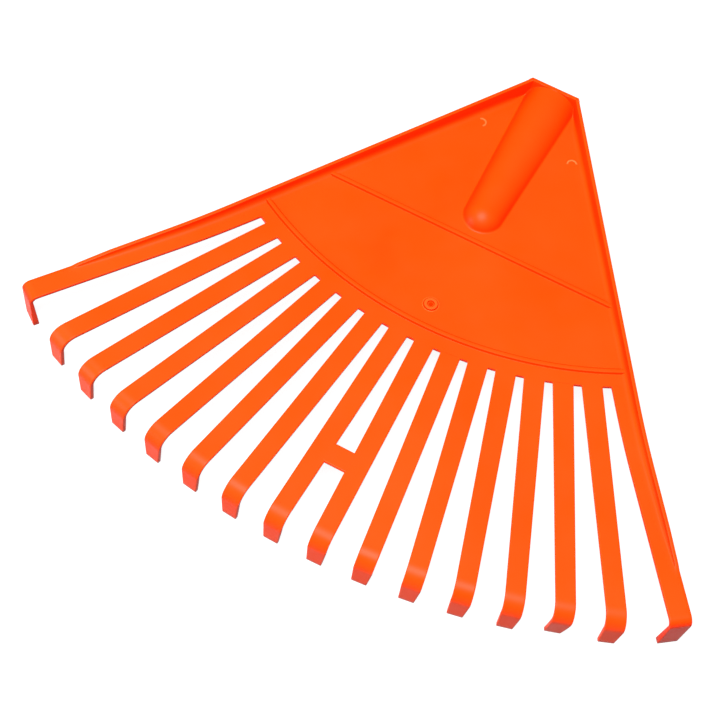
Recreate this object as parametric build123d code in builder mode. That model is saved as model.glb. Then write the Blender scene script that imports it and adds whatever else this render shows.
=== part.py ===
"""Head of a fan-shaped leaf rake, moulded in one plastic shot, split along its natural features.

Frame, in millimetres: the origin is the centre of the handle socket's mouth. +Y points out of the mouth
along the handle, the tines spread towards -Y, and +Z is the side away from the ground, so the hooked tips
point down towards -Z.
"""
from build123d import *
import math
import os

os.makedirs("parts", exist_ok=True)

# ---- handle socket: a tapered tube under the plate and a broader crown over it
BORE_RADIUS = 12.75          # takes a round handle of 25 mm
BORE_STRAIGHT = 30.0         # depth of the cylindrical part of the bore
SOCKET_MOUTH_RADIUS = 16.5
SOCKET_END_RADIUS = 11.6     # outer radius where the rounded end starts
SOCKET_TAPER_LENGTH = 100.0
SOCKET_WALL = 2.3
CROWN_MOUTH_Z = 0.4          # the crown's axis rises from here at the mouth
CROWN_MOUTH_RADIUS = 17.3
CROWN_END_Z = 2.2            # to here where its rounded end starts
CROWN_END_RADIUS = 12.7

# ---- plate: a flat fan whose top stands above the socket's axis
PLATE_TOP = 6.5
PLATE_THICKNESS = 2.2
MOUTH_HALF_WIDTH = 15.3
EDGE_ANGLE = 33.6            # of each straight outer edge, from the centreline
EDGE_STRAIGHT = 225.0        # from the mouth to where the outer edge turns out, on the outermost tine
APEX_Y = 11.0                # the tines' centrelines meet this far beyond the mouth
ROOT_CENTRE_Y = 36.0         # the tines' roots lie on this circle
ROOT_RADIUS = 231.0

# ---- upright flange along each outer edge
FLANGE_THICKNESS = 2.2
FLANGE_MOUTH_HEIGHT = 11.2
FLANGE_END_HEIGHT = 3.0
FLANGE_LENGTH = 302.0
FLANGE_RUN_OUT = 22.0        # the far end slopes down over this length
FLANGE_LIP = 0.8             # height left at the very end
WEB_THICKNESS = 2.4          # of the end wall that closes the corners at the mouth

# ---- beads moulded on top of the plate
BEAD_WIDTH = 2.8
BEAD_HEIGHT = 0.9
BEAD_ROUND = 0.6
CROSS_BEAD_Y = -118.7
ARC_BEAD_CENTRE_Y = 45.0
ARC_BEAD_RADIUS = 229.3

# ---- gate mark, where the plastic entered the mould
GATE_Y = -169.9
GATE_RING_OUTER = 4.1
GATE_RING_INNER = 1.9
GATE_RING_HEIGHT = 0.9
GATE_PIP_RADIUS = 1.1
GATE_PIP_HEIGHT = 0.7

# ---- tines
TINE_COUNT = 16
TINE_PITCH = 4.475           # degrees between neighbouring tines
TINE_ROOT_WIDTH = 11.6
TINE_KNEE_WIDTH = 10.7
TINE_TIP_WIDTH = 8.8
KNEE_CENTRE_Y = 80.5         # the hooks' outer faces lie on this circle
KNEE_RADIUS = 411.5
TIP_DROP = 26.0              # from the plate's top to the tip
BEND_RADIUS = 10.0           # outer radius of the hook's bend
HOOK_TURN = 0.75             # a hook faces this share of its tine's angle from the centreline

# ---- the outermost tines carry the ends of the flanges
OUTER_SPLAY = 3.1            # they turn out by this many degrees where the straight edge ends
OUTER_REACH = 107.5          # from that turn to the hook's face
OUTER_WIDTH = 12.2
OUTER_TIP_WIDTH = 11.3
OUTER_TIP_SHIFT = 2.4        # the tip's outer corner lies this far inside the tine's outer edge
OUTER_LEG_THICKNESS = 3.6    # of the hook at its tip
OUTER_BEND_RADIUS = 5.0

# ---- each inner tine flexes about a line at its root
NOSE_RADIUS = PLATE_THICKNESS / 2
GROOVE_CLEARANCE = 0.1       # around the nose
GROOVE_END_GAP = 0.4         # at each end of the nose

# ---- bridge between the two middle tines
BRIDGE_NEAR_Y = -274.4
BRIDGE_FAR_Y = -286.8

PLATE_MID = PLATE_TOP - NOSE_RADIUS
PLATE_BOTTOM = PLATE_TOP - PLATE_THICKNESS
TIP_Z = PLATE_TOP - TIP_DROP
CENTRE_LEFT = TINE_COUNT // 2    # number of the tine just left of the centreline


def finish(part, label):
    """Label a sub-part and write it as its own STEP file."""
    part.label = label
    export_step(part, f"parts/{label}.step")


def fan_point(angle, distance):
    """Point in plan at an angle from the centreline and a distance from the fan's apex."""
    turn = math.radians(angle)
    return Vector(distance * math.sin(turn), APEX_Y - distance * math.cos(turn))


def reach(angle, centre_y, radius):
    """Distance from the fan's apex, along an angle, to a circle centred on the centreline."""
    turn = math.radians(angle)
    offset = centre_y - APEX_Y
    return math.sqrt(radius**2 - (offset * math.sin(turn)) ** 2) - offset * math.cos(turn)


def edge_point(along, inset=0.0):
    """Point in plan on the right-hand outer edge, measured from the mouth, moved inwards by inset."""
    turn = math.radians(EDGE_ANGLE)
    x = MOUTH_HALF_WIDTH + along * math.sin(turn) - inset * math.cos(turn)
    return Vector(x, -along * math.cos(turn) - inset * math.sin(turn))


def edge_meets_circle(centre_y, radius):
    """How far along the outer edge a circle centred on the centreline crosses it."""
    turn = math.radians(EDGE_ANGLE)
    half_b = MOUTH_HALF_WIDTH * math.sin(turn) + centre_y * math.cos(turn)
    c = MOUTH_HALF_WIDTH**2 + centre_y**2 - radius**2
    return math.sqrt(half_b**2 - c) - half_b


def tine_angle(number):
    """Angle of a tine from the centreline; tine 1 is the leftmost, seen from above with the handle up."""
    return (number - (TINE_COUNT + 1) / 2) * TINE_PITCH


def half_width(distance):
    """Half the width of an inner tine at a distance from the apex."""
    root = reach(0, ROOT_CENTRE_Y, ROOT_RADIUS)
    knee = reach(0, KNEE_CENTRE_Y, KNEE_RADIUS)
    share = (distance - root) / (knee - root)
    return (TINE_ROOT_WIDTH + share * (TINE_KNEE_WIDTH - TINE_ROOT_WIDTH)) / 2


def slot_root(gap):
    """Point in plan where a slot between two tines ends; slot 1 lies right of tine 1."""
    angle = tine_angle(gap + 0.5)
    return fan_point(angle, reach(angle, ROOT_CENTRE_Y, ROOT_RADIUS))


def mirrored(point):
    """The same plan point on the left-hand side."""
    return Vector(-point.X, point.Y)


ROOT_ALONG = edge_meets_circle(ROOT_CENTRE_Y, ROOT_RADIUS)
EDGE_ROOT = edge_point(ROOT_ALONG)
EDGE_TURN = edge_point(EDGE_STRAIGHT)
SPLAY_ANGLE = math.radians(EDGE_ANGLE + OUTER_SPLAY)
SPLAYED = Vector(math.sin(SPLAY_ANGLE), -math.cos(SPLAY_ANGLE))
SPLAYED_ACROSS = Vector(math.cos(SPLAY_ANGLE), math.sin(SPLAY_ANGLE))
CENTRE_GAP = TINE_COUNT // 2
SLOT_ROOTS = [slot_root(gap) for gap in range(1, TINE_COUNT) if gap != CENTRE_GAP]


def hinge_line(number):
    """Middle point and unit direction of the line at the root about which an inner tine flexes."""
    if number in (CENTRE_LEFT, CENTRE_LEFT + 1):
        level = slot_root(CENTRE_LEFT + 1).Y
        turn = math.radians(tine_angle(number))
        return Vector((APEX_Y - level) * math.tan(turn), level), Vector(1, 0)
    left = slot_root(number - 1)
    right = slot_root(number)
    return (left + right) * 0.5, (right - left).normalized()


def inner_tine_plan(number):
    """Plan corners of a flexing tine. Its sides start on the hinge line, which may be slightly skewed."""
    angle = tine_angle(number)
    middle, along_root = hinge_line(number)
    root_distance = (middle - Vector(0, APEX_Y)).length
    far_distance = reach(angle, KNEE_CENTRE_Y, KNEE_RADIUS) + 2 * BEND_RADIUS
    sideways = Vector(math.cos(math.radians(angle)), math.sin(math.radians(angle)))
    root_half = along_root * (half_width(root_distance) / sideways.dot(along_root))
    far_half = sideways * half_width(far_distance)
    far_middle = fan_point(angle, far_distance)
    return [middle - root_half, middle + root_half, far_middle + far_half, far_middle - far_half]


def outer_tine_plan():
    """Plan corners of the rightmost tine, a strip of one width that turns out a little on its way."""
    across = edge_point(0) - edge_point(0, 1)
    share = OUTER_WIDTH / (EDGE_ROOT - SLOT_ROOTS[-1]).dot(across)
    inner_root = EDGE_ROOT + (SLOT_ROOTS[-1] - EDGE_ROOT) * share
    mitre = OUTER_WIDTH * math.tan(math.radians(OUTER_SPLAY / 2))
    inner_turn = edge_point(EDGE_STRAIGHT + mitre, OUTER_WIDTH)
    outer_knee = EDGE_TURN + SPLAYED * OUTER_REACH
    inner_knee = outer_knee - SPLAYED_ACROSS * OUTER_WIDTH
    return [inner_root, EDGE_ROOT, EDGE_TURN, outer_knee, inner_knee, inner_turn]


# ---------------------------------------------------------------- handle socket
bore_end_radius = SOCKET_END_RADIUS - SOCKET_WALL
right_side = [edge_point(0), EDGE_ROOT]
outline = [mirrored(p) for p in right_side[::-1]] + right_side + SLOT_ROOTS[::-1]

crown_tilt = math.atan2(CROWN_END_Z - CROWN_MOUTH_Z, SOCKET_TAPER_LENGTH)
crown_axis = Vector(0, math.cos(crown_tilt), -math.sin(crown_tilt))
crown_length = SOCKET_TAPER_LENGTH / math.cos(crown_tilt)
crown_overrun = 2.0               # beyond the mouth, trimmed flush with it afterwards
overrun_share = crown_overrun / crown_length
crown_start_radius = CROWN_MOUTH_RADIUS + overrun_share * (CROWN_MOUTH_RADIUS - CROWN_END_RADIUS)
crown_plane = Plane(origin=(0, 0, CROWN_MOUTH_Z), x_dir=(1, 0, 0),
                    z_dir=(0, math.sin(crown_tilt), math.cos(crown_tilt)))

with BuildPart() as crown:
    with BuildSketch(crown_plane):
        with BuildLine():
            Polyline((0, -crown_length - CROWN_END_RADIUS), (0, crown_overrun),
                     (crown_start_radius, crown_overrun), (CROWN_END_RADIUS, -crown_length))
            RadiusArc((CROWN_END_RADIUS, -crown_length),
                      (0, -crown_length - CROWN_END_RADIUS), CROWN_END_RADIUS)
        make_face()
    revolve(axis=Axis((0, 0, CROWN_MOUTH_Z), crown_axis))
    # it starts in the plate and ends flush with the flanges' outer faces and the mouth
    with BuildSketch(Plane.XY.offset(PLATE_BOTTOM)):
        Polygon(*outline, align=None)
    extrude(amount=CROWN_MOUTH_RADIUS, mode=Mode.INTERSECT)

with BuildPart() as socket_envelope:
    with BuildSketch(Plane.XY):
        with BuildLine():
            Polyline((0, -SOCKET_TAPER_LENGTH - SOCKET_END_RADIUS), (0, 0), (SOCKET_MOUTH_RADIUS, 0),
                     (SOCKET_END_RADIUS, -SOCKET_TAPER_LENGTH))
            RadiusArc((SOCKET_END_RADIUS, -SOCKET_TAPER_LENGTH),
                      (0, -SOCKET_TAPER_LENGTH - SOCKET_END_RADIUS), SOCKET_END_RADIUS)
        make_face()
    revolve(axis=Axis.Y)
    split(bisect_by=Plane.XY.offset(PLATE_MID), keep=Keep.BOTTOM)
    add(crown.part)

with BuildPart() as handle_socket:
    add(socket_envelope.part)
    with BuildSketch(Plane.XY):
        with BuildLine():
            Polyline((0, -SOCKET_TAPER_LENGTH - bore_end_radius), (0, 0), (BORE_RADIUS, 0),
                     (BORE_RADIUS, -BORE_STRAIGHT), (bore_end_radius, -SOCKET_TAPER_LENGTH))
            RadiusArc((bore_end_radius, -SOCKET_TAPER_LENGTH),
                      (0, -SOCKET_TAPER_LENGTH - bore_end_radius), bore_end_radius)
        make_face()
    revolve(axis=Axis.Y, mode=Mode.SUBTRACT)
finish(handle_socket.part, "handle_socket")

# ---------------------------------------------------------------- plate
with BuildPart() as fan_plate:
    with BuildSketch(Plane.XY.offset(PLATE_BOTTOM)):
        Polygon(*outline, align=None)
    extrude(amount=PLATE_THICKNESS)
    add(socket_envelope.part, mode=Mode.SUBTRACT)
    # round grooves in the root edge, one for each flexing tine's nose
    for tine in range(2, TINE_COUNT):
        middle, along_root = hinge_line(tine)
        root_plane = Plane(origin=(middle.X, middle.Y, PLATE_MID), z_dir=(along_root.X, along_root.Y, 0))
        with BuildSketch(root_plane):
            Circle(NOSE_RADIUS + GROOVE_CLEARANCE)
        extrude(amount=TINE_ROOT_WIDTH / 2 + GROOVE_END_GAP, both=True, mode=Mode.SUBTRACT)
finish(fan_plate.part, "fan_plate")

# ---------------------------------------------------------------- side flanges
slope = (FLANGE_MOUTH_HEIGHT - FLANGE_END_HEIGHT) / (FLANGE_LENGTH - FLANGE_RUN_OUT)
turn_height = FLANGE_MOUTH_HEIGHT - slope * EDGE_STRAIGHT
tail = FLANGE_LENGTH - EDGE_STRAIGHT
edge_direction = edge_point(1) - edge_point(0)
before = 2 * FLANGE_THICKNESS     # starts before the mouth, then trimmed flush with it
overlap = 0.2                     # of the two stretches inside each other where the edge turns


def flange_plane(start, direction):
    """Upright plane along an outer face: x runs along it, y upwards, and the flange lies behind it."""
    return Plane(origin=(start.X, start.Y, PLATE_TOP), x_dir=(direction.X, direction.Y, 0),
                 z_dir=(direction.Y, -direction.X, 0))


with BuildPart() as flange_blank:
    with BuildSketch(flange_plane(edge_point(0), edge_direction)):
        Polygon((-before, 0), (EDGE_STRAIGHT, 0), (EDGE_STRAIGHT, turn_height),
                (-before, FLANGE_MOUTH_HEIGHT + slope * before), align=None)
    extrude(amount=FLANGE_THICKNESS)
    with BuildSketch(flange_plane(EDGE_TURN, SPLAYED)):
        Polygon((-overlap, 0), (tail, 0), (tail, FLANGE_LIP), (tail - FLANGE_RUN_OUT, FLANGE_END_HEIGHT),
                (-overlap, turn_height + slope * overlap), align=None)
    extrude(amount=FLANGE_THICKNESS)
    split(bisect_by=Plane.XZ, keep=Keep.TOP)
    add(socket_envelope.part, mode=Mode.SUBTRACT)

with BuildPart() as side_flange_right:
    add(flange_blank.part)
finish(side_flange_right.part, "side_flange_right")

with BuildPart() as side_flange_left:
    mirror(flange_blank.part, about=Plane.YZ)
finish(side_flange_left.part, "side_flange_left")

# ---------------------------------------------------------------- end wall at the mouth, one web each side
web_top_x = MOUTH_HALF_WIDTH - FLANGE_THICKNESS / math.cos(math.radians(EDGE_ANGLE))
web_bottom_x = web_top_x + WEB_THICKNESS * math.tan(math.radians(EDGE_ANGLE))

with BuildPart() as web_blank:
    with BuildSketch(Plane.XY.offset(PLATE_TOP)):
        Polygon((0, 0), (web_top_x, 0), (web_bottom_x, -WEB_THICKNESS), (0, -WEB_THICKNESS), align=None)
    extrude(amount=FLANGE_MOUTH_HEIGHT)
    add(socket_envelope.part, mode=Mode.SUBTRACT)

with BuildPart() as mouth_web_right:
    add(web_blank.part)
finish(mouth_web_right.part, "mouth_web_right")

with BuildPart() as mouth_web_left:
    mirror(web_blank.part, about=Plane.YZ)
finish(mouth_web_left.part, "mouth_web_left")

# ---------------------------------------------------------------- beads on the plate
inner_right = [edge_point(0, FLANGE_THICKNESS), edge_point(FLANGE_LENGTH, FLANGE_THICKNESS)]
between_flanges = [mirrored(p) for p in inner_right[::-1]] + inner_right

with BuildPart() as cross_bead:
    with BuildSketch(Plane.XY.offset(PLATE_TOP)):
        with Locations((0, CROSS_BEAD_Y)):
            Rectangle(2 * FLANGE_LENGTH, BEAD_WIDTH)
        Polygon(*between_flanges, align=None, mode=Mode.INTERSECT)
    extrude(amount=BEAD_HEIGHT)
    fillet(cross_bead.edges().filter_by(Axis.X).group_by(Axis.Z)[-1], BEAD_ROUND)
finish(cross_bead.part, "cross_bead")

with BuildPart() as arc_bead:
    with BuildSketch(Plane.XY.offset(PLATE_TOP)):
        with Locations((0, ARC_BEAD_CENTRE_Y)):
            Circle(ARC_BEAD_RADIUS + BEAD_WIDTH / 2)
            Circle(ARC_BEAD_RADIUS - BEAD_WIDTH / 2, mode=Mode.SUBTRACT)
        Polygon(*between_flanges, align=None, mode=Mode.INTERSECT)
    extrude(amount=BEAD_HEIGHT)
    fillet(arc_bead.edges().filter_by(GeomType.CIRCLE).group_by(Axis.Z)[-1], BEAD_ROUND)
finish(arc_bead.part, "arc_bead")

# ---------------------------------------------------------------- gate mark
with BuildPart() as gate_ring:
    with BuildSketch(Plane.XY.offset(PLATE_TOP)):
        with Locations((0, GATE_Y)):
            Circle(GATE_RING_OUTER)
            Circle(GATE_RING_INNER, mode=Mode.SUBTRACT)
    extrude(amount=GATE_RING_HEIGHT)
finish(gate_ring.part, "gate_ring")

with BuildPart() as gate_pip:
    with BuildSketch(Plane.XY.offset(PLATE_TOP)):
        with Locations((0, GATE_Y)):
            Circle(GATE_PIP_RADIUS)
    extrude(amount=GATE_PIP_HEIGHT)
finish(gate_pip.part, "gate_pip")

# ---------------------------------------------------------------- bridge between the two middle tines
def bridge_corner(level):
    """Where the right-hand middle tine's inner edge crosses a level in plan."""
    turn = math.radians(tine_angle(CENTRE_LEFT + 1))
    distance = (APEX_Y - level) / math.cos(turn)
    return Vector((APEX_Y - level) * math.tan(turn) - half_width(distance) / math.cos(turn), level)


bridge_right = [bridge_corner(BRIDGE_FAR_Y), bridge_corner(BRIDGE_NEAR_Y)]

with BuildPart() as tine_bridge:
    with BuildSketch(Plane.XY.offset(PLATE_BOTTOM)):
        Polygon(*bridge_right, *[mirrored(p) for p in bridge_right[::-1]], align=None)
    extrude(amount=PLATE_THICKNESS)
finish(tine_bridge.part, "tine_bridge")

# ---------------------------------------------------------------- tines
wide = 4 * BEND_RADIUS
shaft_end = ROOT_RADIUS - KNEE_RADIUS - BEND_RADIUS

for tine in range(CENTRE_LEFT + 1, TINE_COUNT + 1):
    outermost = tine == TINE_COUNT
    if outermost:
        angle = EDGE_ANGLE + OUTER_SPLAY
        facing = math.radians(angle)
        knee = EDGE_TURN + SPLAYED * OUTER_REACH
        plan = outer_tine_plan()
        bend_radius = OUTER_BEND_RADIUS
        leg_thickness = OUTER_LEG_THICKNESS
        bend_sides = (-OUTER_WIDTH, 0)
        tip_sides = (-OUTER_TIP_SHIFT - OUTER_TIP_WIDTH, -OUTER_TIP_SHIFT)
    else:
        angle = tine_angle(tine)
        facing = math.radians(angle * HOOK_TURN)
        knee = fan_point(angle, reach(angle, KNEE_CENTRE_Y, KNEE_RADIUS))
        plan = inner_tine_plan(tine)
        bend_radius = BEND_RADIUS
        leg_thickness = PLATE_THICKNESS
        bend_sides = (-TINE_KNEE_WIDTH / 2, TINE_KNEE_WIDTH / 2)
        tip_sides = (-TINE_TIP_WIDTH / 2, TINE_TIP_WIDTH / 2)
    bend_z = PLATE_TOP - bend_radius
    turn = math.radians(angle)
    side_view = Plane(origin=(knee.X, knee.Y, 0), x_dir=(math.sin(facing), -math.cos(facing), 0),
                      z_dir=(-math.cos(facing), -math.sin(facing), 0))
    front_view = Plane(origin=(knee.X, knee.Y, 0), x_dir=(math.cos(turn), math.sin(turn), 0),
                       z_dir=(math.sin(turn), -math.cos(turn), 0))

    with BuildPart() as limits:
        # plan view: straight sides
        with BuildSketch(Plane.XY.offset(TIP_Z)):
            Polygon(*plan, align=None)
        extrude(amount=TIP_DROP)
        if outermost:
            # its leg leans out of the plan's sides, so the front view alone sets its width
            with BuildSketch(Plane.XY.offset(TIP_Z)):
                with Locations((knee.X, knee.Y)):
                    Circle(wide)
            extrude(amount=bend_z - TIP_Z)

    with BuildPart() as tine_part:
        # side view: a flat shaft, a round bend and a leg down to the tip
        with BuildSketch(side_view):
            with BuildLine():
                Polyline((-bend_radius, PLATE_TOP), (shaft_end, PLATE_TOP), (shaft_end, PLATE_BOTTOM),
                         (-bend_radius, PLATE_BOTTOM))
                RadiusArc((-bend_radius, PLATE_BOTTOM), (-PLATE_THICKNESS, bend_z),
                          bend_radius - PLATE_THICKNESS)
                Polyline((-PLATE_THICKNESS, bend_z), (-leg_thickness, TIP_Z), (0, TIP_Z), (0, bend_z))
                RadiusArc((0, bend_z), (-bend_radius, PLATE_TOP), -bend_radius)
            make_face()
        extrude(amount=wide, both=True)
        add(limits.part, mode=Mode.INTERSECT)
        # front view: the leg changes width from the bend to the tip
        with BuildSketch(front_view):
            Polygon((-wide, PLATE_TOP), (-wide, bend_z), (bend_sides[0], bend_z), (tip_sides[0], TIP_Z),
                    (tip_sides[1], TIP_Z), (bend_sides[1], bend_z), (wide, bend_z), (wide, PLATE_TOP),
                    align=None)
        extrude(amount=-shaft_end, both=True, mode=Mode.INTERSECT)
        if not outermost:
            # rounded nose that turns in the plate's groove
            middle, along_root = hinge_line(tine)
            with BuildSketch(Plane(origin=(middle.X, middle.Y, PLATE_MID),
                                   z_dir=(along_root.X, along_root.Y, 0))):
                Circle(NOSE_RADIUS)
            extrude(amount=TINE_ROOT_WIDTH / 2, both=True)
    finish(tine_part.part, f"tine_{tine:02d}")
    finish(mirror(tine_part.part, about=Plane.YZ), f"tine_{TINE_COUNT + 1 - tine:02d}")
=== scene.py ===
"""Looks for the leaf rake head: one orange plastic moulding, seen from its upper side.

The head shell (plate, socket, flanges and mouth webs) is one smooth skin, because the real piece is one
moulding with soft fillets where its features meet. Each tine is a piece of its own. Sizes are in
millimetres until a mesh is made. +Y points out of the socket's mouth along the handle, the tines spread
towards -Y, and +Z is the side away from the ground.
"""
import math

import bmesh
import bpy
from mathutils import Matrix, Vector


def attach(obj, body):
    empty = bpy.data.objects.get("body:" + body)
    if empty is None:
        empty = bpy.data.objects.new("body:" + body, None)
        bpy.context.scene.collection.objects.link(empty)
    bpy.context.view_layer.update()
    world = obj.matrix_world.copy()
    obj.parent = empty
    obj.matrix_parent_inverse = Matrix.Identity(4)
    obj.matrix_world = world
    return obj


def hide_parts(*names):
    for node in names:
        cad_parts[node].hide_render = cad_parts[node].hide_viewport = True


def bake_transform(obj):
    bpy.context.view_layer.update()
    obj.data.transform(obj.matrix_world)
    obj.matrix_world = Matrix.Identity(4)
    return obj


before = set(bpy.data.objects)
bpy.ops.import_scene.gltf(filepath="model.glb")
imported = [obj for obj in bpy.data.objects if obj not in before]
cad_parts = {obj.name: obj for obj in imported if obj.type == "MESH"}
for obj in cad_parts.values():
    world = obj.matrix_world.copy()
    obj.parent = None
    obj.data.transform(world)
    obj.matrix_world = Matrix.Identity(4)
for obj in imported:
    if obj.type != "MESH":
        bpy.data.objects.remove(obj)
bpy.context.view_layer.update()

MM = 0.001

# ---- driving dimensions, the same as the CAD model's
# handle socket: a tapered tube under the plate and a broader crown over it
BORE_RADIUS = 12.75
BORE_STRAIGHT = 30.0         # depth of the cylindrical part of the bore
SOCKET_MOUTH_RADIUS = 16.5
SOCKET_END_RADIUS = 11.6     # outer radius where the rounded end starts
SOCKET_TAPER_LENGTH = 100.0
SOCKET_WALL = 2.3
CROWN_MOUTH_Z = 0.4          # the crown's axis rises from here at the mouth
CROWN_MOUTH_RADIUS = 17.3
CROWN_END_Z = 2.2            # to here where its rounded end starts
CROWN_END_RADIUS = 12.7
# plate: a flat fan whose top stands above the socket's axis
PLATE_TOP = 6.5
PLATE_THICKNESS = 2.2
PLATE_BOTTOM = PLATE_TOP - PLATE_THICKNESS
MOUTH_HALF_WIDTH = 15.3
EDGE_ANGLE = math.radians(33.6)     # of each straight outer edge, from the centreline
EDGE_STRAIGHT = 225.0        # from the mouth to where the outer edge turns out
APEX_Y = 11.0                # the tines' centrelines meet this far beyond the mouth
ROOT_CENTRE_Y = 36.0         # the slots end on this circle
ROOT_RADIUS = 231.0
# upright flange along each outer edge, and the end wall at the mouth
FLANGE_THICKNESS = 2.2
FLANGE_MOUTH_HEIGHT = 11.2
FLANGE_END_HEIGHT = 3.0
FLANGE_LENGTH = 302.0
FLANGE_RUN_OUT = 22.0        # the far end slopes down over this length
FLANGE_LIP = 0.8             # height left at the very end
WEB_THICKNESS = 2.4
# beads and gate mark on the plate
CROSS_BEAD_Y = -118.7
ARC_BEAD_CENTRE_Y = 45.0
ARC_BEAD_RADIUS = 229.3
BEAD_WIDTH = 2.8
BEAD_HEIGHT = 0.9
GATE_Y = -169.9
GATE_RING_OUTER = 4.1
GATE_RING_INNER = 1.9
GATE_RING_HEIGHT = 0.9
GATE_PIP_RADIUS = 1.1
GATE_PIP_HEIGHT = 0.7
# tines
TINE_COUNT = 16
TINE_PITCH = math.radians(4.475)
TINE_ROOT_WIDTH = 11.6
TINE_KNEE_WIDTH = 10.7
TINE_TIP_WIDTH = 8.8
KNEE_CENTRE_Y = 80.5         # the hooks' outer faces lie on this circle
KNEE_RADIUS = 411.5
TIP_Z = PLATE_TOP - 26.0
BEND_RADIUS = 10.0           # outer radius of the hook's bend
HOOK_TURN = 0.75             # a hook faces this share of its tine's angle from the centreline
SPLAY = math.radians(3.1)    # the outermost tines turn out by this where the straight edge ends
OUTER_REACH = 107.5          # from that turn to the hook's face
OUTER_WIDTH = 12.2
OUTER_TIP_WIDTH = 11.3
OUTER_TIP_SHIFT = 2.4        # the tip's outer corner lies this far inside the tine's outer edge
OUTER_LEG_THICKNESS = 3.6    # of the hook at its tip
OUTER_BEND_RADIUS = 5.0
BRIDGE_NEAR_Y = -274.4
BRIDGE_FAR_Y = -286.8

# ---- roundings and small marks of the moulding, which the CAD model leaves out
SOCKET_FILLET = 1.6          # where the socket's crown meets the plate
UNDERSIDE_FILLET = 1.5       # where the tube meets the plate's underside
FLANGE_FILLET = 3.5          # at the foot of the flange's inner wall
VALLEY_FILLET = 0.5          # the same, where flange and socket meet at the mouth
EDGE_ROUND = 0.5
TINE_ROUND = 0.45
SUPPORT = 0.5                # an extra edge loop this far inside a rounding keeps the flat beside it flat
BRIDGE_PROUD = 0.015         # the bridge's skin covers the tines' rounded edges where it meets them
SLOT_FILLET = 0.7            # at the two corners of each slot's end
TURN_LENGTH = 40.0           # the outermost tine's turn is spread over this length
MOUTH_ROUND = 0.4
BEAD_SUNK = 0.4              # how far the beads reach down into the plate
MARK_SUNK = 0.3              # the same for the gate's and ejector pins' marks
BEAD_FOOT = 0.9              # how far a bead's or the gate ring's foot fillet reaches
PAINTED_SHADE_SLOPE = 0.97          # a bead's or the gate ring's face gets painted shade if its normal's upward part is less than this
EJECTOR_X = 30.2             # middle of the right-hand ejector mark
EJECTOR_Y = -38.8
EJECTOR_RADIUS = 3.3
EJECTOR_WIDTH = 1.1
EJECTOR_HEIGHT = 0.35

# ---- the real tines are not quite even
HOOK_LEAN = 1.2              # how far the hooks right of the middle lean at the tip, towards -X
LEAN_FROM = 7                # the last tine without a lean; it grows over the next ones
LEAN_OVER = 3
BENT_TINE = 14               # one tine whose hook is bent more than the others
BENT_TINE_LEAN = 2.6
BENT_TINE_CURL = 2.3

# ---- how things are made
WELD = 2e-6                  # vertices closer than this, in metres, are one

COS_E = math.cos(EDGE_ANGLE)
SIN_E = math.sin(EDGE_ANGLE)
TAN_E = math.tan(EDGE_ANGLE)


# ------------------------------------------------------------------ small geometry helpers
def lerp(a, b, share):
    return a + (b - a) * share


def clamp(value, low, high):
    return max(low, min(high, value))


def steps(count):
    """0, 1/count, ... 1."""
    return [i / count for i in range(count + 1)]


def fan_point(angle, distance):
    """Plan point at an angle from the centreline and a distance from the fan's apex."""
    return Vector((distance * math.sin(angle), APEX_Y - distance * math.cos(angle)))


def reach(angle, centre_y, radius):
    """Distance from the fan's apex, along an angle, to a circle centred on the centreline."""
    offset = centre_y - APEX_Y
    return math.sqrt(radius**2 - (offset * math.sin(angle)) ** 2) - offset * math.cos(angle)


def edge_point(along, inset=0.0):
    """Plan point on the right-hand outer edge, measured from the mouth, moved inwards by inset."""
    x = MOUTH_HALF_WIDTH + along * SIN_E - inset * COS_E
    return Vector((x, -along * COS_E - inset * SIN_E))


def outer_path(along, inset):
    """Like edge_point, but the edge turns out gently where the straight stretch ends."""
    before = EDGE_STRAIGHT - TURN_LENGTH / 2
    turned = clamp((along - before) / TURN_LENGTH, 0, 1)
    drift = math.tan(SPLAY) * (turned**2 * TURN_LENGTH / 2 + max(along - before - TURN_LENGTH, 0))
    angle = EDGE_ANGLE + SPLAY * turned
    return edge_point(along, -drift) - Vector((math.cos(angle), math.sin(angle))) * inset


def along_to_circle(inset, centre_y=ROOT_CENTRE_Y, radius=ROOT_RADIUS):
    """How far along the outer edge's parallel, moved in by inset, it crosses a circle."""
    start = edge_point(0, inset) - Vector((0, centre_y))
    half_b = start.x * SIN_E - start.y * COS_E
    return math.sqrt(half_b**2 - start.length_squared + radius**2) - half_b


def tine_angle(number):
    """Angle of a tine from the centreline; tine 1 is at -X."""
    return (number - (TINE_COUNT + 1) / 2) * TINE_PITCH


def flange_height(along):
    """Height of the flange above the plate's top."""
    slope = (FLANGE_MOUTH_HEIGHT - FLANGE_END_HEIGHT) / (FLANGE_LENGTH - FLANGE_RUN_OUT)
    if along <= FLANGE_LENGTH - FLANGE_RUN_OUT:
        return FLANGE_MOUTH_HEIGHT - slope * along
    left = clamp((FLANGE_LENGTH - along) / FLANGE_RUN_OUT, 0, 1)
    return lerp(FLANGE_LIP, FLANGE_END_HEIGHT, left) if left else 0.0


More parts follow.
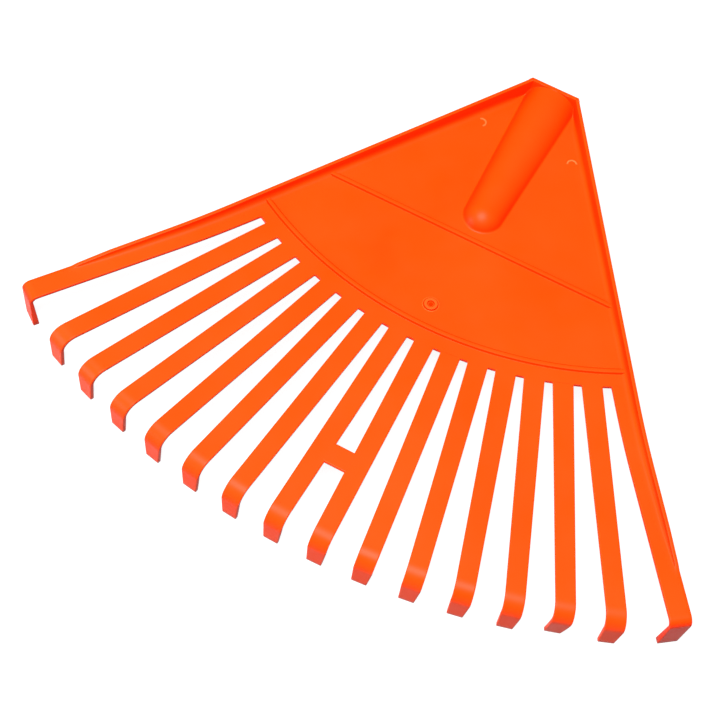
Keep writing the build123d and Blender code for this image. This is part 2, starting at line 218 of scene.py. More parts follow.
# ------------------------------------------------------------------ mesh helpers
class Skin:
    """Vertices in millimetres and faces, gathered strip by strip and welded at the end."""

    def __init__(self):
        self.points = []
        self.faces = []

    def grid(self, rows, closed=False, mirror=False):
        """Quads between neighbouring rows of equal length."""
        for sign in ((1, -1) if mirror else (1,)):
            base = len(self.points)
            count = len(rows[0])
            for row in rows:
                self.points += [Vector((sign * p[0], p[1], p[2])) for p in row]
            for i in range(len(rows) - 1):
                for j in range(count if closed else count - 1):
                    k = (j + 1) % count
                    a = base + i * count
                    b = a + count
                    quad = [a + j, a + k, b + k, b + j]
                    self.faces.append(quad if sign > 0 else quad[::-1])

    def cap(self, ring, mirror=False):
        """One flat face over a closed ring of points."""
        for sign in ((1, -1) if mirror else (1,)):
            base = len(self.points)
            self.points += [Vector((sign * p[0], p[1], p[2])) for p in ring]
            self.faces.append(list(range(base, base + len(ring))))

    def piece(self, name, material, sharp=40):
        """A welded, smooth-shaded object in metres."""
        mesh = bpy.data.meshes.new(name)
        mesh.from_pydata([p * MM for p in self.points], [], self.faces)
        bm = bmesh.new()
        bm.from_mesh(mesh)
        bmesh.ops.remove_doubles(bm, verts=bm.verts, dist=WELD)
        bmesh.ops.dissolve_degenerate(bm, edges=bm.edges, dist=WELD)
        bmesh.ops.recalc_face_normals(bm, faces=bm.faces)
        bm.to_mesh(mesh)
        bm.free()
        mesh.polygons.foreach_set("use_smooth", [True] * len(mesh.polygons))
        mesh.set_sharp_from_angle(angle=math.radians(sharp))
        mesh.materials.append(material)
        obj = bpy.data.objects.new(name, mesh)
        bpy.context.collection.objects.link(obj)
        return obj


def closed_piece(name, rows, material):
    """A bar with a closed section: rows of it joined in order, and a face over each end."""
    skin = Skin()
    skin.grid(rows, closed=True)
    skin.cap(rows[0])
    skin.cap(rows[-1])
    return skin.piece(name, material)


# ------------------------------------------------------------------ material
class Plastic:
    """Nodes of a satin orange polypropylene: colour drift, faint flow haze and a fine moulded grain, and
    where asked, painted shade on steep faces.
    """

    def __init__(self, name, shine):
        self.material = bpy.data.materials.new(name)
        self.material.use_nodes = True
        self.nodes = self.material.node_tree.nodes
        self.links = self.material.node_tree.links
        self.shader = self.nodes["Principled BSDF"]
        self.shader.inputs["IOR"].default_value = 1.49
        self.shader.inputs["Specular IOR Level"].default_value = shine
        self.place = self.nodes.new("ShaderNodeTexCoord")

    def noise(self, scale, detail):
        texture = self.nodes.new("ShaderNodeTexNoise")
        texture.inputs["Scale"].default_value = scale
        texture.inputs["Detail"].default_value = detail
        self.links.new(self.place.outputs["Object"], texture.inputs["Vector"])
        return texture.outputs["Fac"]

    def mapped(self, value, from_min, from_max, to_min, to_max):
        node = self.nodes.new("ShaderNodeMapRange")
        node.inputs["From Min"].default_value = from_min
        node.inputs["From Max"].default_value = from_max
        node.inputs["To Min"].default_value = to_min
        node.inputs["To Max"].default_value = to_max
        self.links.new(value, node.inputs["Value"])
        return node.outputs["Result"]

    def combined(self, operation, *values):
        node = self.nodes.new("ShaderNodeMath")
        node.operation = operation
        for index, value in enumerate(values):
            self.links.new(value, node.inputs[index])
        return node.outputs["Value"]

    def painted_shade_share(self):
        """Share of painted shade: 0 on level faces, up or down, and a share of the colour ramp on steep
        ones.
        """
        parts = self.nodes.new("ShaderNodeSeparateXYZ")
        self.links.new(self.place.outputs["Normal"], parts.inputs["Vector"])
        level = self.combined("ABSOLUTE", parts.outputs["Z"])
        return self.mapped(level, 0.98, 0.45, 0.0, 0.5)

    def colour(self, dark, light, steep):
        """Drifts between dark and light. Where steep is given, faces that lean away from level are nearer
        to that colour, as painted shade.
        """
        tint = self.nodes.new("ShaderNodeValToRGB")
        for element, place, shade in zip(tint.color_ramp.elements, (0.35, 0.65), (dark, light)):
            element.position = place
            element.color = (*shade, 1)
        drift = self.noise(14.0, 3.0)
        if steep:
            tint.color_ramp.elements.new(0.0).color = (*steep, 1)
            drift = self.combined("SUBTRACT", drift, self.painted_shade_share())
        self.links.new(drift, tint.inputs["Fac"])
        self.links.new(tint.outputs["Color"], self.shader.inputs["Base Color"])

    def surface(self):
        haze = self.mapped(self.noise(55.0, 4.0), 0.3, 0.7, 0.36, 0.46)
        self.links.new(haze, self.shader.inputs["Roughness"])
        broad = self.bump(self.noise(38.0, 1.0), 0.25, 0.0006)
        fine = self.bump(self.noise(1400.0, 2.0), 0.12, 0.00008)
        self.links.new(broad.outputs["Normal"], fine.inputs["Normal"])
        self.links.new(fine.outputs["Normal"], self.shader.inputs["Normal"])

    def bump(self, height, strength, distance):
        node = self.nodes.new("ShaderNodeBump")
        node.inputs["Strength"].default_value = strength
        node.inputs["Distance"].default_value = distance
        self.links.new(height, node.inputs["Height"])
        return node


def orange_plastic(name, dark, light, steep=None, shine=0.10):
    look = Plastic(name, shine)
    look.colour(dark, light, steep)
    look.surface()
    return look.material


ORANGE = ((0.93, 0.049, 0.0003), (0.95, 0.055, 0.0014))
plastic = orange_plastic("orange plastic", *ORANGE)
# painted shade: steep faces, such as the crown's flanks and the flanges' inner walls, get a darker, deeper
# orange
painted_slope_shade_plastic = orange_plastic("orange plastic, painted shade where steep", *ORANGE, steep=(0.89, 0.031, 0.0002))
# painted shade: a dark orange for the sloping faces of beads and the gate ring, and for the gate's pip,
# standing in for the shade in creases
painted_crease_shade = orange_plastic("orange plastic with painted shade of creases", (0.50, 0.022, 0.0002), (0.54, 0.026, 0.0004),
                        shine=0.0)
# painted light: a lighter orange for the gate ring, whose top stands lit
painted_light_plastic = orange_plastic("orange plastic, painted light", (0.95, 0.075, 0.006), (0.96, 0.085, 0.009))
# painted highlight: a pale orange for the ejector marks' half rings, where light glints on their rims
painted_highlight_plastic = orange_plastic("orange plastic, painted highlight", (0.95, 0.110, 0.020), (0.96, 0.150, 0.035))


# ------------------------------------------------------------------ head shell
TUBE_STEPS = 18              # around the crown, from its ridge to the fillet
FILLET_STEPS = 5
FLAT_STEPS = 8
SIDE_RAYS = 12               # fan of rays around the socket's end, up to the plate's corner
ROOT_RAYS = 44               # and from there to the centreline
DOME_Y = -SOCKET_TAPER_LENGTH
INNER_LINE = FLANGE_THICKNESS + FLANGE_FILLET   # inset where the flange's fillet starts


def socket_radius(c):
    """Outer radius of the socket at a distance from its mouth."""
    return lerp(SOCKET_MOUTH_RADIUS, SOCKET_END_RADIUS, min(c / SOCKET_TAPER_LENGTH, 1))


def tube_profile(radius, plane, fillet):
    """Half section of the socket standing out of a plane: round tube, then a fillet onto the plane."""
    middle = plane + fillet
    foot = math.sqrt((radius + fillet) ** 2 - middle**2)
    turn = math.atan2(foot, middle)
    arc = [(radius * math.sin(turn * t), radius * math.cos(turn * t)) for t in steps(TUBE_STEPS)]
    for t in steps(FILLET_STEPS)[1:]:
        angle = turn * (1 - t)
        arc.append((foot - fillet * math.sin(angle), middle - fillet * math.cos(angle)))
    return arc


def crown_profile(c):
    """Half section of the crown on the plate's top, at a distance from the mouth."""
    share = c / SOCKET_TAPER_LENGTH
    radius = lerp(CROWN_MOUTH_RADIUS, CROWN_END_RADIUS, share)
    axis_z = lerp(CROWN_MOUTH_Z, CROWN_END_Z, share)
    return [(x, z + axis_z) for x, z in tube_profile(radius, PLATE_TOP - axis_z, SOCKET_FILLET)]


def cut_profile(profile, limit):
    """The profile, held back to x = limit at the height it has there."""
    cut = []
    for (x0, z0), (x1, z1) in zip(profile, profile[1:] + profile[-1:]):
        if x0 <= limit:
            cut.append((x0, z0))
            if x1 > limit:
                edge = (limit, lerp(z0, z1, (limit - x0) / (x1 - x0)))
        else:
            cut.append(edge)
    return cut


def outer_x(c):
    return MOUTH_HALF_WIDTH + c * TAN_E


def valley_radius(c):
    """Fillet at the flange's foot, squeezed where the flange runs into the socket."""
    room = outer_x(c) - FLANGE_THICKNESS / COS_E - (crown_profile(c)[-1][0] - SOCKET_FILLET / 2)
    return clamp(0.45 * room, VALLEY_FILLET, FLANGE_FILLET)


def flange_section(base, top, fillet, lip):
    """(inset, z) from the foot of the flange's inner wall over its top to its outer wall's lower end."""
    points = [(FLANGE_THICKNESS + fillet * (1 - math.sin(t * math.pi / 2)),
               base + fillet * (1 - math.cos(t * math.pi / 2))) for t in steps(6)]
    inner = min(EDGE_ROUND, 0.45 * (top - base))
    points += [(FLANGE_THICKNESS - inner * (1 - math.cos(t * math.pi / 2)),
                top - inner * (1 - math.sin(t * math.pi / 2))) for t in steps(3)]
    points += [(EDGE_ROUND * (1 - math.sin(t * math.pi / 2)),
                top - EDGE_ROUND * (1 - math.cos(t * math.pi / 2))) for t in steps(3)]
    points += [(lip * (1 - math.cos(t * math.pi / 2)),
                PLATE_BOTTOM + lip * (1 - math.sin(t * math.pi / 2))) for t in steps(3)]
    return points


def mouth_rows():
    """Distance from the mouth, share of the end wall's height, and rounding inset of each row."""
    rows = [(0.0, 1.0, MOUTH_ROUND), (0.12, 1.0, 0.12), (MOUTH_ROUND, 1.0, 0.0), (1.2, 1.0, 0.0)]
    # the end wall's inner side drops to the plate between these distances from its inner face
    drop = ((-0.45, 1.0), (-0.12, 0.98), (0.0, 0.93), (0.05, 0.5), (0.1, 0.1), (0.25, 0.03), (0.55, 0.0))
    rows += [(WEB_THICKNESS + offset, height, 0.0) for offset, height in drop]
    # close together where flange and crown part, then even
    rows += [(c, 0.0, 0.0) for c in (3.5, 4.2, 5.0, 6.0, 7.2, 8.5, 10.0, 12.0, 14.0, 16.0)]
    even = steps(24)[:-1]
    rows += [(lerp(18.0, SOCKET_TAPER_LENGTH, t), 0.0, 0.0) for t in even]
    return rows


def rounded_in(point, inset):
    """Moves a point of the mouth's outline towards the socket's axis."""
    flat = Vector((point[0], point[2]))
    moved = flat * (1 - inset / flat.length)
    return (moved.x, point[1], moved.y)


def straight_section(c, web, inset):
    """Right half of the shell across the socket: top, flange strip and underside, as three lists."""
    radius = socket_radius(c)
    side = outer_x(c)
    wall_foot = side - (FLANGE_THICKNESS + valley_radius(c)) / COS_E
    web_top = PLATE_TOP + FLANGE_MOUTH_HEIGHT

    def raised(x, z):
        return (x, -c, z + max(web_top - z, 0) * web)

    profile = cut_profile(crown_profile(c), wall_foot)
    top = [raised(x, z) for x, z in profile]
    start_x, start_z = profile[-1]
    top += [raised(lerp(start_x, wall_foot, t), start_z) for t in steps(FLAT_STEPS)[1:]]

    # underside: the tube below the plate, or the tube alone where the plate is narrower than it
    tube_side = math.sqrt(radius**2 - PLATE_BOTTOM**2)
    room = side - tube_side
    low = PLATE_BOTTOM
    if room <= 0.02:
        low = math.sqrt(radius**2 - side**2)
        turn = math.atan2(side, -low)
        under = [(radius * math.sin(turn * t), radius * math.cos(turn * t)) for t in steps(TUBE_STEPS)]
        under += [under[-1]] * FILLET_STEPS
    else:
        under = tube_profile(radius, -PLATE_BOTTOM, clamp(0.45 * room, 0.01, UNDERSIDE_FILLET))
    under_foot = under[-1][0]
    lip = clamp(0.45 * (side - under_foot) * COS_E, 0.0, EDGE_ROUND)
    under_limit = min(max(wall_foot, under_foot), side)
    bottom = [(x, -c, -z) for x, z in under]
    bottom += [(lerp(under_foot, under_limit, t), -c, low) for t in steps(FLAT_STEPS)[1:]]

    along = c / COS_E
    rim = flange_section(start_z, PLATE_TOP + flange_height(along), valley_radius(c), lip)
    strip = [top[-1]]
    strip += [raised(side - q / COS_E, max(z, low)) for q, z in rim[1:]]
    strip += [(max(side - (lip + SUPPORT) / COS_E, under_limit), -c, low), bottom[-1]]
    if inset:
        top, strip, bottom = ([rounded_in(p, inset) for p in part] for part in (top, strip, bottom))
    return top, strip, bottom


def ray_section(angle, share):
    """The shell along one ray from the socket's rounded end. share is 0 to 1 up to the plate's corner.

    Past the corner share is None: there the ray ends at the slots' roots, with no flange.
    """
    heading = Vector((math.cos(angle), -math.sin(angle)))
    centre = Vector((0, DOME_Y))
    if share is None:
        across = centre - Vector((0, ROOT_CENTRE_Y))
        half_b = across.dot(heading)
        limit = math.sqrt(half_b**2 - across.length_squared + ROOT_RADIUS**2) - half_b
    else:
        line = MOUTH_HALF_WIDTH - INNER_LINE / COS_E - DOME_Y * TAN_E
        limit = line / (heading.x + heading.y * TAN_E)

    def place(distance, z):
        spot = centre + heading * distance
        return (spot.x, spot.y, z)

    profile = crown_profile(SOCKET_TAPER_LENGTH)
    top = [place(x, z) for x, z in profile]
    top += [place(lerp(profile[-1][0], limit, t), PLATE_TOP) for t in steps(FLAT_STEPS)[1:]]
    under = tube_profile(SOCKET_END_RADIUS, -PLATE_BOTTOM, UNDERSIDE_FILLET)
    bottom = [place(x, -z) for x, z in under]
    bottom += [place(lerp(under[-1][0], limit, t), PLATE_BOTTOM) for t in steps(FLAT_STEPS)[1:]]
    if share is None:
        return top, None, bottom

    end = centre + heading * limit
    along = (-end.y - INNER_LINE * SIN_E) / COS_E
    strip = rim_row(along, share)
    strip[0] = top[-1]
    strip.append(bottom[-1])
    return top, strip, bottom


def rim_row(along, share):
    """One row of the flange strip. It turns from square across the socket to the root circle's line."""
    def section(at):
        return flange_section(PLATE_TOP, PLATE_TOP + flange_height(at), FLANGE_FILLET, EDGE_ROUND)

    def crossing(inset):
        """How far along the outer edge the row crosses its parallel."""
        square = (INNER_LINE - inset) * TAN_E
        round_root = along_to_circle(inset) - along_to_circle(INNER_LINE)
        return along + lerp(square, round_root, share)

    points = []
    for index, (inset, _) in enumerate(section(along)):
        here = crossing(inset)
        spot = edge_point(here, inset)
        points.append((spot.x, spot.y, section(here)[index][1]))
    under = EDGE_ROUND + SUPPORT
    spot = edge_point(crossing(under), under)
    return points + [(spot.x, spot.y, PLATE_BOTTOM)]


def head_shell(material):
    skin = Skin()
    corner = edge_point(along_to_circle(INNER_LINE), INNER_LINE)
    corner_turn = math.atan2(DOME_Y - corner.y, corner.x)
    rays = [(corner_turn * t, t) for t in steps(SIDE_RAYS)]
    rays += [(lerp(corner_turn, math.pi / 2, t), None) for t in steps(ROOT_RAYS)[1:]]
    fan = [ray_section(*ray) for ray in rays]
    sections = [straight_section(*row) for row in mouth_rows()] + fan
    skin.grid([top for top, _, _ in sections], mirror=True)
    skin.grid([bottom for _, _, bottom in sections], mirror=True)
    strips = [strip for _, strip, _ in sections if strip is not None]
    skin.grid(strips, mirror=True)
    skin.cap(strips[-1], mirror=True)
    skin.grid([[top[-1], bottom[-1]] for top, _, bottom in fan[SIDE_RAYS:]], mirror=True)

    # mouth face and bore, joined to the outline point by point
    top, strip, bottom = sections[0]
    outline = top + strip[1:] + bottom[::-1][1:]
    bore_end = SOCKET_END_RADIUS - SOCKET_WALL
    stations = [(BORE_RADIUS + EDGE_ROUND, 0.0), (BORE_RADIUS, EDGE_ROUND), (BORE_RADIUS, BORE_STRAIGHT)]
    for t in steps(6)[1:]:
        stations.append((lerp(BORE_RADIUS, bore_end, t), lerp(BORE_STRAIGHT, SOCKET_TAPER_LENGTH, t)))
    for t in steps(8)[1:]:
        turn = t * math.pi / 2
        stations.append((bore_end * math.cos(turn), SOCKET_TAPER_LENGTH + bore_end * math.sin(turn)))
    rings = [outline]
    for radius, depth in stations:
        ring = []
        for x, _, z in outline:
            turn = math.atan2(x, z)
            ring.append((radius * math.sin(turn), -depth, radius * math.cos(turn)))
        rings.append(ring)
    skin.grid(rings, mirror=True)
    return skin.piece("head_shell", material)


# ------------------------------------------------------------------ tines
class Tine:
    """Lines that place a tine: its centreline, the way its hook faces and the line it bends about."""

    def __init__(self, knee, facing, bend_radius):
        self.knee = knee
        self.bend_radius = bend_radius
        self.facing = Vector((math.sin(facing), -math.cos(facing)))
        self.bend_line = Vector((math.cos(facing), math.sin(facing)))

    def hook_point(self, sideways, origin, lateral, s):
        """Plan point s beyond the hook's face, at a lateral offset from origin measured along sideways."""
        start = self.knee + self.facing * s
        along = (lateral - (start - origin).dot(sideways)) / self.bend_line.dot(sideways)
        return start + self.bend_line * along


def shaft_shares(length):
    """Places along a shaft, as shares of its length: close together at the root and before the bend."""
    near = [0, 0.07, 0.17, 0.3, 0.5, SLOT_FILLET, 2.0]
    count = 34
    middle = [lerp(2.0, length - 1.0, i / count) for i in range(1, count + 1)]
    return [d / length for d in near + middle + [length]]


def half_width(distance):
    """Half the width of an inner tine at a distance from the apex."""
    root = reach(0, ROOT_CENTRE_Y, ROOT_RADIUS)
    knee = reach(0, KNEE_CENTRE_Y, KNEE_RADIUS)
    return lerp(TINE_ROOT_WIDTH, TINE_KNEE_WIDTH, (distance - root) / (knee - root)) / 2


def slot_flare(distance):
    """How much wider a tine is at its root, where the slot's corner is rounded."""
    left = clamp(SLOT_FILLET - distance, 0, SLOT_FILLET)
    return SLOT_FILLET - math.sqrt(SLOT_FILLET**2 - left**2)


def bend_turns():
    """How far each row of the bend has turned from the shaft, up to a quarter turn."""
    return [t * math.pi / 2 for t in steps(10)[1:]]


def leg_levels(start):
    """Heights down the leg with the tip's rounding inset: (z, inset)."""
    levels = [(start - 1.0, 0.0)] + [(lerp(start, TIP_Z, t), 0.0) for t in (0.3, 0.55, 0.8)]
    levels += [(TIP_Z + TINE_ROUND, 0.0), (TIP_Z + 0.13, 0.13), (TIP_Z, TINE_ROUND)]
    return levels


def inner_section(half, thickness):
    """Closed section of an inner tine as (lateral, depth), clockwise from the lower left side."""
    r = TINE_ROUND
    turn = [t * math.pi / 2 for t in steps(3)]
    left = [(-half + r * (1 - math.cos(a)), r * (1 - math.sin(a))) for a in turn]
    left.append((-half + r + SUPPORT, 0))
    flat = [(half * u, 0) for u in (-0.4, 0, 0.4)]
    upper = left + flat + [(-x, d) for x, d in left[::-1]]
    return upper + [(x, thickness - d) for x, d in upper[::-1]]


def inset_section(section, half, thickness, inset):
    """The section shrunk by the same amount on every side."""
    wide = (half - inset) / half
    deep = (thickness - 2 * inset) / thickness
    return [(x * wide, inset + d * deep) for x, d in section]


def bent(tine, sideways, origin, section, turn):
    """A section on the bend, which has turned by an angle from the shaft."""
    row = []
    for lateral, depth in section:
        arm = tine.bend_radius - depth
        spot = tine.hook_point(sideways, origin, lateral, arm * math.sin(turn) - tine.bend_radius)
        row.append((spot.x, spot.y, PLATE_TOP - tine.bend_radius + arm * math.cos(turn)))
    return row


def hung(tine, sideways, origin, section, z):
    """A section of the leg at a height."""
    row = []
    for lateral, depth in section:
        spot = tine.hook_point(sideways, origin, lateral, -depth)
        row.append((spot.x, spot.y, z))
    return row


def hook_set(number):
    """How far a hook's tip stands sideways, towards -X, and back. The real hooks are a little uneven."""
    if number == BENT_TINE:
        return BENT_TINE_LEAN, BENT_TINE_CURL
    return HOOK_LEAN * clamp((number - LEAN_FROM) / LEAN_OVER, 0, 1), 0.0


def inner_tine(number, material):
    angle = tine_angle(number)
    sideways = Vector((math.cos(angle), math.sin(angle)))
    heading = Vector((math.sin(angle), -math.cos(angle)))
    apex = Vector((0, APEX_Y))
    root_distance = reach(angle, ROOT_CENTRE_Y, ROOT_RADIUS)
    knee_distance = reach(angle, KNEE_CENTRE_Y, KNEE_RADIUS)
    tine = Tine(fan_point(angle, knee_distance), angle * HOOK_TURN, BEND_RADIUS)
    shaft = knee_distance - BEND_RADIUS - root_distance
    def root_point(lateral):
        start = apex + sideways * lateral - Vector((0, ROOT_CENTRE_Y))
        half_b = start.dot(heading)
        away = math.sqrt(half_b**2 - start.length_squared + ROOT_RADIUS**2) - half_b
        return apex + sideways * lateral + heading * away

    rows = []
    for share in shaft_shares(shaft):
        half = half_width(root_distance + shaft * share) + slot_flare(shaft * share)
        row = []
        for lateral, depth in inner_section(half, PLATE_THICKNESS):
            bend_start = tine.hook_point(sideways, tine.knee, lateral, -BEND_RADIUS)
            spot = root_point(lateral).lerp(bend_start, share)
            row.append((spot.x, spot.y, PLATE_TOP - depth))
        rows.append(row)
    lean, curl = hook_set(number)
    bend_length = BEND_RADIUS * math.pi / 2
    bend_z = PLATE_TOP - BEND_RADIUS
    hook_length = bend_length + bend_z - TIP_Z

    def leaned(section, along_hook):
        """The section moved sideways and back by its share of the hook's set."""
        share = max(along_hook / hook_length, 0) ** 1.5
        return [(x - lean * share, d + curl * share) for x, d in section]

    for turn in bend_turns():
        half = half_width(knee_distance - BEND_RADIUS * (1 - math.sin(turn)))
        section = leaned(inner_section(half, PLATE_THICKNESS), bend_length * turn / (math.pi / 2))
        rows.append(bent(tine, sideways, tine.knee, section, turn))
    for z, inset in leg_levels(bend_z):
        down = (bend_z - z) / (bend_z - TIP_Z)
        half = min(half_width(knee_distance), lerp(TINE_KNEE_WIDTH, TINE_TIP_WIDTH, down) / 2)
        section = inset_section(inner_section(half, PLATE_THICKNESS), half, PLATE_THICKNESS, inset)
        section = leaned(section, bend_length + bend_z - z)
        rows.append(hung(tine, sideways, tine.knee, section, z))

    return closed_piece(f"tine_skin_{number:02d}", rows, material), root_point(0), heading


def outer_section(width, thickness, height, fillet):
    """Closed section as (inset from the outer edge, height over the top), from the inner edge round."""
    r = TINE_ROUND
    turn = [t * math.pi / 2 for t in steps(3)]
    foot = FLANGE_THICKNESS + fillet
    points = [(width - r * (1 - math.cos(a)), -r * (1 - math.sin(a))) for a in turn]
    points += [(lerp(width - r - SUPPORT, foot, t), 0.0) for t in (0, 0.35, 0.7)]
    points += flange_section(0.0, height, fillet, EDGE_ROUND)[:-len(turn)]
    e = EDGE_ROUND
    points += [(e * (1 - math.cos(a)), -thickness + e * (1 - math.sin(a))) for a in turn]
    points += [(lerp(e + SUPPORT, width - r - SUPPORT, t), -thickness) for t in (0, 0.5, 1)]
    points += [(width - r * (1 - math.cos(a)), -thickness + r * (1 - math.sin(a))) for a in turn[::-1]]
    return points


def outer_tine(number, material):
    """The outermost tine carries the flange along most of its length. It is made on the right."""
    heading_angle = EDGE_ANGLE + SPLAY
    heading = Vector((math.sin(heading_angle), -math.cos(heading_angle)))
    sideways = Vector((math.cos(heading_angle), math.sin(heading_angle)))
    tine = Tine(edge_point(EDGE_STRAIGHT) + heading * OUTER_REACH, heading_angle, OUTER_BEND_RADIUS)
    shaft_end = EDGE_STRAIGHT + (OUTER_REACH - OUTER_BEND_RADIUS) * math.cos(SPLAY)
    length = shaft_end - along_to_circle(OUTER_WIDTH)

    rows = []
    for share in shaft_shares(length):
        width = OUTER_WIDTH + slot_flare(length * share)
        height = flange_height(lerp(along_to_circle(0), shaft_end, share))
        row = []
        fillet = min(FLANGE_FILLET, 0.8 * height)
        for inset, lift in outer_section(width, PLATE_THICKNESS, height, fillet):
            spot = outer_path(lerp(along_to_circle(inset), shaft_end, share), inset)
            row.append((spot.x, spot.y, PLATE_TOP + lift))
        rows.append(row)

    def hook_section(low, high, thickness, inset=0.0):
        flat = outer_section(high - low - 2 * inset, thickness - 2 * inset, 0.0, 0.0)
        return [(-(low + inset + q), inset - z) for q, z in flat]

    for turn in bend_turns():
        section = hook_section(0.0, OUTER_WIDTH, PLATE_THICKNESS)
        rows.append(bent(tine, sideways, tine.knee, section, turn))
    bend_z = PLATE_TOP - OUTER_BEND_RADIUS
    for z, inset in leg_levels(bend_z):
        down = (bend_z - z) / (bend_z - TIP_Z)
        low = lerp(0.0, OUTER_TIP_SHIFT, down)
        high = low + lerp(OUTER_WIDTH, OUTER_TIP_WIDTH, down)
        thickness = lerp(PLATE_THICKNESS, OUTER_LEG_THICKNESS, down)
        section = hook_section(low, high, thickness, inset)
        rows.append(hung(tine, sideways, tine.knee, section, z))

    if number == 1:
        rows = [[(-x, y, z) for x, y, z in row] for row in rows]
    return closed_piece(f"tine_skin_{number:02d}", rows, material)


# ------------------------------------------------------------------ beads, gate and ejector marks
def bead(name, path, material):
    """A low flat ridge with steep sides and a soft foot, along (plan point, plan direction across it). Its
    sloping faces carry painted shade.
    """
    half = BEAD_WIDTH / 2 + BEAD_FOOT
    shoulder = BEAD_WIDTH / 2 - 0.2
    side = [(half, 0.01), (half - 0.4, 0.06), (BEAD_WIDTH / 2 + 0.05, 0.22),
            (shoulder + 0.08, BEAD_HEIGHT - 0.14), (shoulder, BEAD_HEIGHT - 0.04),
            (shoulder - 0.12, BEAD_HEIGHT)]
    profile = [(-w, z) for w, z in side] + side[::-1]
    rows = []
    for spot, across in path:
        row = []
        for w, z in profile + [(half, -BEAD_SUNK), (-half, -BEAD_SUNK)]:
            place = spot + across * w
            row.append((place.x, place.y, PLATE_TOP + z))
        rows.append(row)
    return with_painted_crease_shade(closed_piece(name, rows, material))


def with_painted_crease_shade(obj):
    """Gives the sloping faces of a low feature painted shade: a darker material, as the shade in creases
    would look.
    """
    obj.data.materials.append(painted_crease_shade)
    for polygon in obj.data.polygons:
        if polygon.normal.z < PAINTED_SHADE_SLOPE:
            polygon.material_index = 1
    return obj


def turned(name, x, y, section, material, start=0.0, sweep=360.0):
    """A closed section of (radius, height over the plate) turned about an upright axis."""
    count = 48
    rows = []
    for t in steps(count):
        turn = math.radians(start + sweep * t)
        rows.append([(x + r * math.cos(turn), y + r * math.sin(turn), PLATE_TOP + z) for r, z in section])
    skin = Skin()
    skin.grid(rows, closed=True)
    if sweep < 360:
        skin.cap(rows[0])
        skin.cap(rows[-1])
    return skin.piece(name, material)


def beads(material):
    inset = 0.4 * FLANGE_THICKNESS       # their ends are hidden inside the flanges
    reach_x = outer_x(-CROSS_BEAD_Y) - inset / COS_E
    count = 40
    cross_path = [(Vector((lerp(-reach_x, reach_x, t), CROSS_BEAD_Y)), Vector((0, 1)))
                  for t in steps(count)]
    end_along = along_to_circle(inset, ARC_BEAD_CENTRE_Y, ARC_BEAD_RADIUS)
    end = edge_point(end_along, inset)
    spread = math.atan2(end.x, ARC_BEAD_CENTRE_Y - end.y)
    arc_path = []
    for t in steps(2 * count):
        turn = lerp(-spread, spread, t)
        out = Vector((math.sin(turn), -math.cos(turn)))
        arc_path.append((Vector((0, ARC_BEAD_CENTRE_Y)) + out * ARC_BEAD_RADIUS, -out))
    return bead("cross_bead_skin", cross_path, material), bead("arc_bead_skin", arc_path, material)


def rounded_ring(inner, outer, height, soft):
    """Section of a low ring with soft shoulders."""
    turn = [t * math.pi / 2 for t in steps(4)]
    points = [(inner, -MARK_SUNK)]
    points += [(inner + soft * (1 - math.cos(a)), height - soft * (1 - math.sin(a))) for a in turn]
    points += [(outer - soft * (1 - math.sin(a)), height - soft * (1 - math.cos(a))) for a in turn]
    return points + [(outer, -MARK_SUNK)]


def gate(material):
    """The gate's ring with a soft foot round it, and the pip that the sprue left in its middle. The ring's
    sloping faces and the whole pip carry painted shade; the ring's top is painted lighter.
    """
    section = rounded_ring(GATE_RING_INNER, GATE_RING_OUTER, GATE_RING_HEIGHT, 0.5)
    foot = [(GATE_RING_OUTER + BEAD_FOOT * share, 0.02 + 0.25 * (1 - share) ** 2)
            for share in (0.05, 0.4, 0.7, 1.0)]
    section = section[:-2] + foot + [(GATE_RING_OUTER + BEAD_FOOT, -MARK_SUNK)]
    ring = with_painted_crease_shade(turned("gate_ring_skin", 0, GATE_Y, section, material))
    pip_section = rounded_ring(0, GATE_PIP_RADIUS, GATE_PIP_HEIGHT, 0.4)[1:]
    # the pip is all painted shade, a dark dot
    return ring, turned("gate_pip_skin", 0, GATE_Y, pip_section, painted_crease_shade)


def tine_bridge(material):
    """The web between the two middle tines. Its ends run into them, past their rounded edges."""
    turn_angle = tine_angle(TINE_COUNT // 2 + 1)

    def inner_edge(level):
        distance = (APEX_Y - level) / math.cos(turn_angle)
        return (APEX_Y - level) * math.tan(turn_angle) - half_width(distance) / math.cos(turn_angle)

    middle = (BRIDGE_NEAR_Y + BRIDGE_FAR_Y) / 2
    section = inner_section((BRIDGE_NEAR_Y - BRIDGE_FAR_Y) / 2, PLATE_THICKNESS)
    rows = []
    for t in steps(6):
        row = []
        for offset, depth in section:
            edge = inner_edge(middle + offset) + 2 * TINE_ROUND
            row.append((lerp(-edge, edge, t), middle + offset, PLATE_TOP - depth + BRIDGE_PROUD))
        rows.append(row)
    return closed_piece("tine_bridge_skin", rows, material)


def ejector_marks(material):
    """Two faint half rings left by the mould's ejector pins, one each side of the socket. Their pale
    orange is a painted highlight.
    """
    marks = []
    for name, side, start in (("ejector_mark_left", -1, -50), ("ejector_mark_right", 1, 27)):
        section = rounded_ring(EJECTOR_RADIUS - EJECTOR_WIDTH, EJECTOR_RADIUS, EJECTOR_HEIGHT, 0.3)
        marks.append(turned(name, side * EJECTOR_X, EJECTOR_Y, section, material, start=start, sweep=180))
    return marks


# ------------------------------------------------------------------ build and attach
# the shell's steep faces carry painted shade
shell = head_shell(painted_slope_shade_plastic)
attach(shell, "head")
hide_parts("fan_plate", "handle_socket", "side_flange_left", "side_flange_right",
            "mouth_web_left", "mouth_web_right")

cross, arc = beads(plastic)
# the gate ring's top gets painted light; its sloping faces and the pip get painted shade
ring, pip = gate(painted_light_plastic)
for piece, node in ((cross, "cross_bead"), (arc, "arc_bead"), (ring, "gate_ring"), (pip, "gate_pip")):
    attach(piece, "head")
    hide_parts(node)

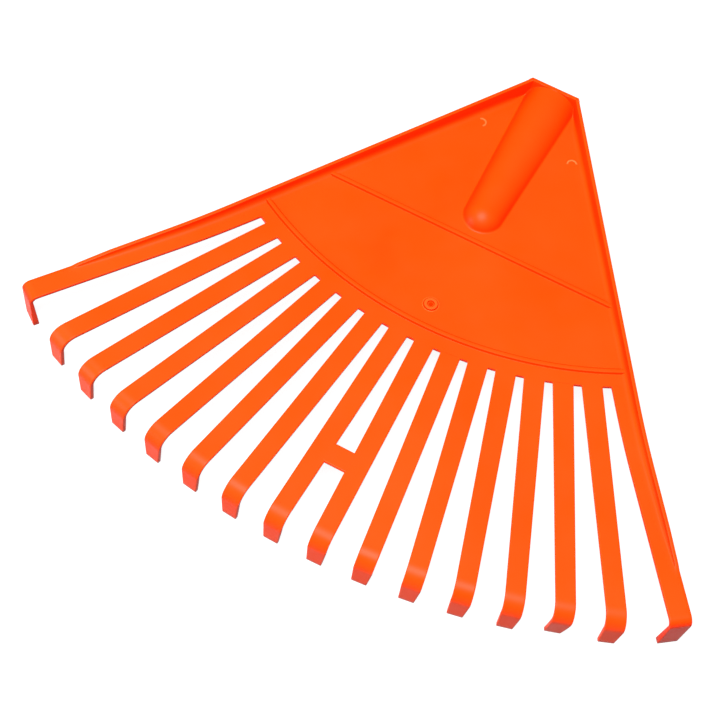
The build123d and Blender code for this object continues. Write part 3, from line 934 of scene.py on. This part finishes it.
# the ejector marks' pale orange is a painted highlight
for piece in ejector_marks(painted_highlight_plastic):
    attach(piece, "head")

for number in (1, TINE_COUNT):
    # the outer tines' steep faces carry the same painted shade
    piece = outer_tine(number, painted_slope_shade_plastic)
    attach(piece, "head")
    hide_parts(f"tine_{number:02d}")

for number in range(2, TINE_COUNT):
    piece, root, heading = inner_tine(number, plastic)
    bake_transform(piece)
    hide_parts(f"tine_{number:02d}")

bridge = tine_bridge(plastic)
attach(bridge, "centre_tines")
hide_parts("tine_bridge")

# ------------------------------------------------------------------ floor, lights and camera
def floor_material():
    material = bpy.data.materials.new("pale floor")
    material.use_nodes = True
    shader = material.node_tree.nodes["Principled BSDF"]
    shader.inputs["Base Color"].default_value = (0.15, 0.15, 0.15, 1)
    shader.inputs["Roughness"].default_value = 0.9
    shader.inputs["Specular IOR Level"].default_value = 0.1
    shader.inputs["Emission Color"].default_value = (1, 1, 1, 1)
    shader.inputs["Emission Strength"].default_value = 0.92
    return material


FLOOR_SIZE = 6.0                  # metres from the middle to each side
FLOOR_Z = (TIP_Z - 0.3) * MM
corners = [(x * FLOOR_SIZE, y * FLOOR_SIZE, FLOOR_Z) for x, y in ((-1, -1), (1, -1), (1, 1), (-1, 1))]
floor_mesh = bpy.data.meshes.new("floor")
floor_mesh.from_pydata(corners, [], [(0, 1, 2, 3)])
floor_mesh.materials.append(floor_material())
floor = bpy.data.objects.new("floor", floor_mesh)
bpy.context.collection.objects.link(floor)
floor.visible_diffuse = False     # it stays white without lighting the object's underside

AIM = Vector((-18.1, -222.2, 6.5)) * MM


def area_light(name, azimuth, elevation, distance, size, power):
    """A soft lamp that looks at the object. Azimuth 0 is behind the tines' tips, 90 is at +X."""
    turn = math.radians(azimuth)
    lift = math.radians(elevation)
    away = Vector((math.sin(turn) * math.cos(lift), -math.cos(turn) * math.cos(lift), math.sin(lift)))
    lamp = bpy.data.lights.new(name, "AREA")
    lamp.shape = "DISK"
    lamp.size = size
    lamp.energy = power
    obj = bpy.data.objects.new(name, lamp)
    obj.location = AIM + away * distance
    obj.rotation_euler = (-away).to_track_quat("-Z", "Y").to_euler()
    bpy.context.collection.objects.link(obj)


area_light("softbox", -10, 74, 1.6, 1.0, 54)
area_light("front", -50, 14, 1.0, 0.5, 5.4)

world = bpy.data.worlds.new("studio")
world.use_nodes = True
world.node_tree.nodes["Background"].inputs["Color"].default_value = (1, 1, 1, 1)
world.node_tree.nodes["Background"].inputs["Strength"].default_value = 0.16
bpy.context.scene.world = world
bpy.context.scene.view_settings.view_transform = "Standard"

VIEW_TURN = math.radians(18.46)       # the camera stands this far round to +X from the centreline
VIEW_LIFT = math.radians(60.16)
VIEW_ROLL = math.radians(10.25)
VIEW_DISTANCE = 951.8 * MM

away = Vector((math.sin(VIEW_TURN) * math.cos(VIEW_LIFT), -math.cos(VIEW_TURN) * math.cos(VIEW_LIFT),
               math.sin(VIEW_LIFT)))
lens = bpy.data.cameras.new("camera")
lens.lens = 86.2
lens.sensor_width = 36.0
camera = bpy.data.objects.new("camera", lens)
facing = (-away).to_track_quat("-Z", "Y").to_matrix().to_4x4()
stand = Matrix.Translation(AIM + away * VIEW_DISTANCE)
camera.matrix_world = stand @ facing @ Matrix.Rotation(VIEW_ROLL, 4, "Z")
bpy.context.collection.objects.link(camera)
bpy.context.scene.camera = camera
